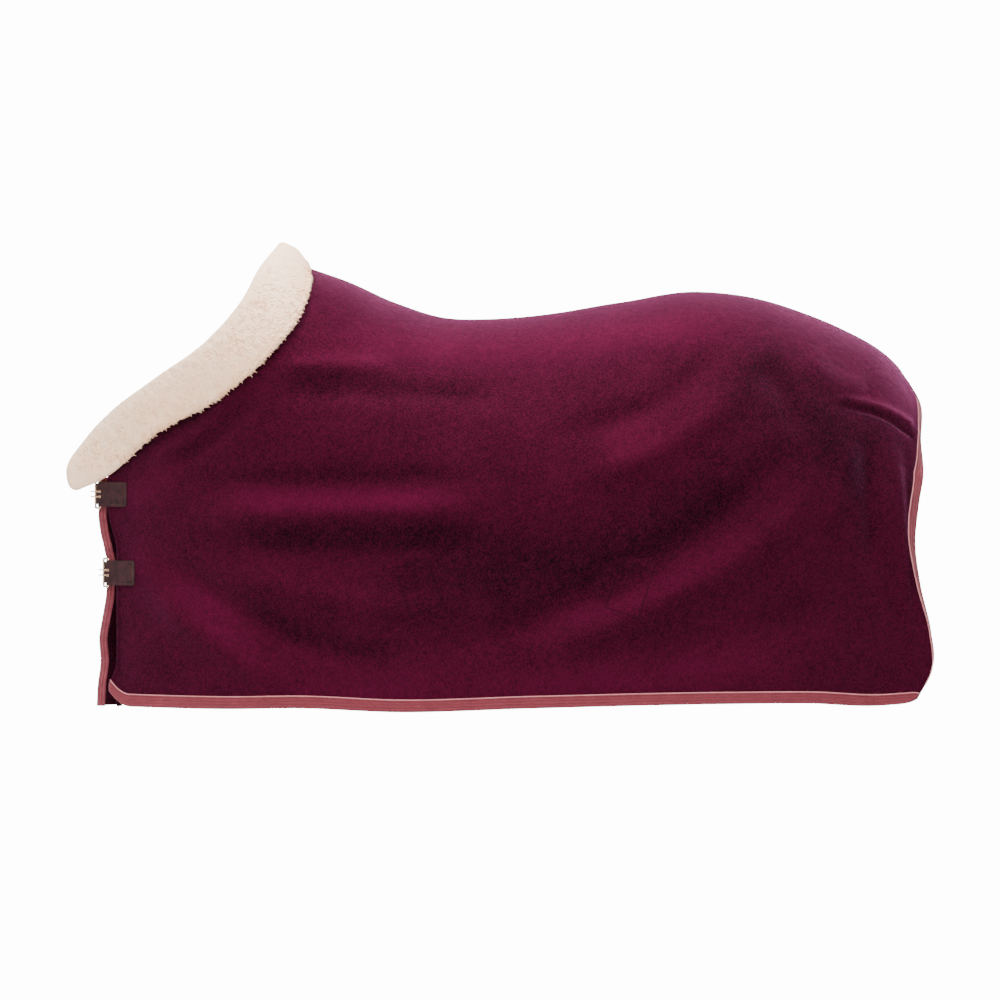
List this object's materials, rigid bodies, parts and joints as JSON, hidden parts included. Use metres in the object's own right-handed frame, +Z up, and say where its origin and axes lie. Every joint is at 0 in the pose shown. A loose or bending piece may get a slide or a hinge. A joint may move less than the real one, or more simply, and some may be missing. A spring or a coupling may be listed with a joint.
{
  "type": "horse rug",
  "caption": "Bound fleece horse rug with a fur collar, a chest that opens between two front panels, prong buckles on leather patches, and inside rings for a belly strap.",
  "frame": {"origin": "on the underside of the back seam tape at the lowest point of the back, where a saddle would sit", "axes": "+X from the horse's head towards its tail, +Y from the near (left) side to the far (right) side, +Z up"},
  "size_m": [2.0107, 0.6642, 1.101],
  "materials": {
    "fleece": "burgundy velour fleece with a short brushed pile",
    "fur": "cream deep-pile plush",
    "webbing": "rose ribbed woven binding",
    "piping": "pale pink satin-covered piping",
    "tape": "dark woven tape",
    "leather": "dark brown satin leather with stitched borders",
    "brass": "polished rose-gold plated wire"
  },
  "bodies": {
    "rug_body": {"back_seam_tape": "tape", "collar_crest": "fur", "far_flank_panel": "fleece", "far_girth_loop_front": "tape", "far_girth_loop_rear": "tape", "far_girth_patch_front": "tape", "far_girth_patch_rear": "tape", "far_hem_binding_rear": "webbing", "far_hem_piping_rear": "piping", "far_rump_dart": "fleece", "near_flank_panel": "fleece", "near_girth_loop_front": "tape", "near_girth_loop_rear": "tape", "near_girth_patch_front": "tape", "near_girth_patch_rear": "tape", "near_hem_binding_rear": "webbing", "near_hem_piping_rear": "piping", "near_rump_dart": "fleece", "tail_binding": "webbing", "tail_piping": "piping"},
    "near_front": {"near_collar_front": "fur", "near_front_binding": "webbing", "near_front_facing": "fleece", "near_front_panel": "fleece", "near_hem_binding_front": "webbing", "near_hem_piping_front": "piping", "near_patch_lower": "leather", "near_patch_upper": "leather"},
    "far_front": {"far_collar_front": "fur", "far_front_binding": "webbing", "far_front_facing": "fleece", "far_front_panel": "fleece", "far_hem_binding_front": "webbing", "far_hem_piping_front": "piping", "far_patch_lower": "leather", "far_patch_upper": "leather", "far_strap_lower": "leather", "far_strap_upper": "leather"},
    "buckle_frame_lower": {"buckle_frame_lower": "brass"},
    "buckle_frame_upper": {"buckle_frame_upper": "brass"},
    "buckle_prongs_lower": {"buckle_prongs_lower": "brass"},
    "buckle_prongs_upper": {"buckle_prongs_upper": "brass"},
    "far_girth_ring_front": {"far_girth_ring_front": "brass"},
    "far_girth_ring_rear": {"far_girth_ring_rear": "brass"},
    "near_girth_ring_front": {"near_girth_ring_front": "brass"},
    "near_girth_ring_rear": {"near_girth_ring_rear": "brass"}
  },
  "joints": [
    {"name": "far_front_swing", "type": "hinge", "parent": "rug_body", "child": "far_front", "pos_m": [-0.55, 0.266, -0.5], "axis": [0, 0, -1], "range_deg": [0, 50]},
    {"name": "near_front_swing", "type": "hinge", "parent": "rug_body", "child": "near_front", "pos_m": [-0.55, -0.266, -0.5], "axis": [0, 0, 1], "range_deg": [0, 50]},
    {"name": "buckle_frame_upper_tilt", "type": "hinge", "parent": "near_front", "child": "buckle_frame_upper", "pos_m": [-0.897, -0.04255, -0.4], "axis": [0, 0, 1], "range_deg": [0, 22]},
    {"name": "buckle_prongs_upper_lift", "type": "hinge", "parent": "buckle_frame_upper", "child": "buckle_prongs_upper", "pos_m": [-0.897, -0.04255, -0.4], "axis": [0, 0, 1], "range_deg": [0, 90]},
    {"name": "buckle_frame_lower_tilt", "type": "hinge", "parent": "near_front", "child": "buckle_frame_lower", "pos_m": [-0.878, -0.05093, -0.583], "axis": [0, 0, 1], "range_deg": [0, 45]},
    {"name": "buckle_prongs_lower_lift", "type": "hinge", "parent": "buckle_frame_lower", "child": "buckle_prongs_lower", "pos_m": [-0.878, -0.05093, -0.583], "axis": [0, 0, 1], "range_deg": [0, 65]},
    {"name": "near_girth_ring_front_swing", "type": "hinge", "parent": "rug_body", "child": "near_girth_ring_front", "pos_m": [-0.153, -0.29222, -0.591], "axis": [1, 0, 0], "range_deg": [-10, 110]},
    {"name": "near_girth_ring_rear_swing", "type": "hinge", "parent": "rug_body", "child": "near_girth_ring_rear", "pos_m": [0.336, -0.31027, -0.598], "axis": [1, 0, 0], "range_deg": [-10, 110]},
    {"name": "far_girth_ring_front_swing", "type": "hinge", "parent": "rug_body", "child": "far_girth_ring_front", "pos_m": [-0.153, 0.29222, -0.591], "axis": [-1, 0, 0], "range_deg": [-10, 110]},
    {"name": "far_girth_ring_rear_swing", "type": "hinge", "parent": "rug_body", "child": "far_girth_ring_rear", "pos_m": [0.336, 0.31027, -0.598], "axis": [-1, 0, 0], "range_deg": [-10, 110]}
  ],
  "couplings": [
    {"joint": "near_front_swing", "follows": "far_front_swing", "ratio": 1}
  ]
}
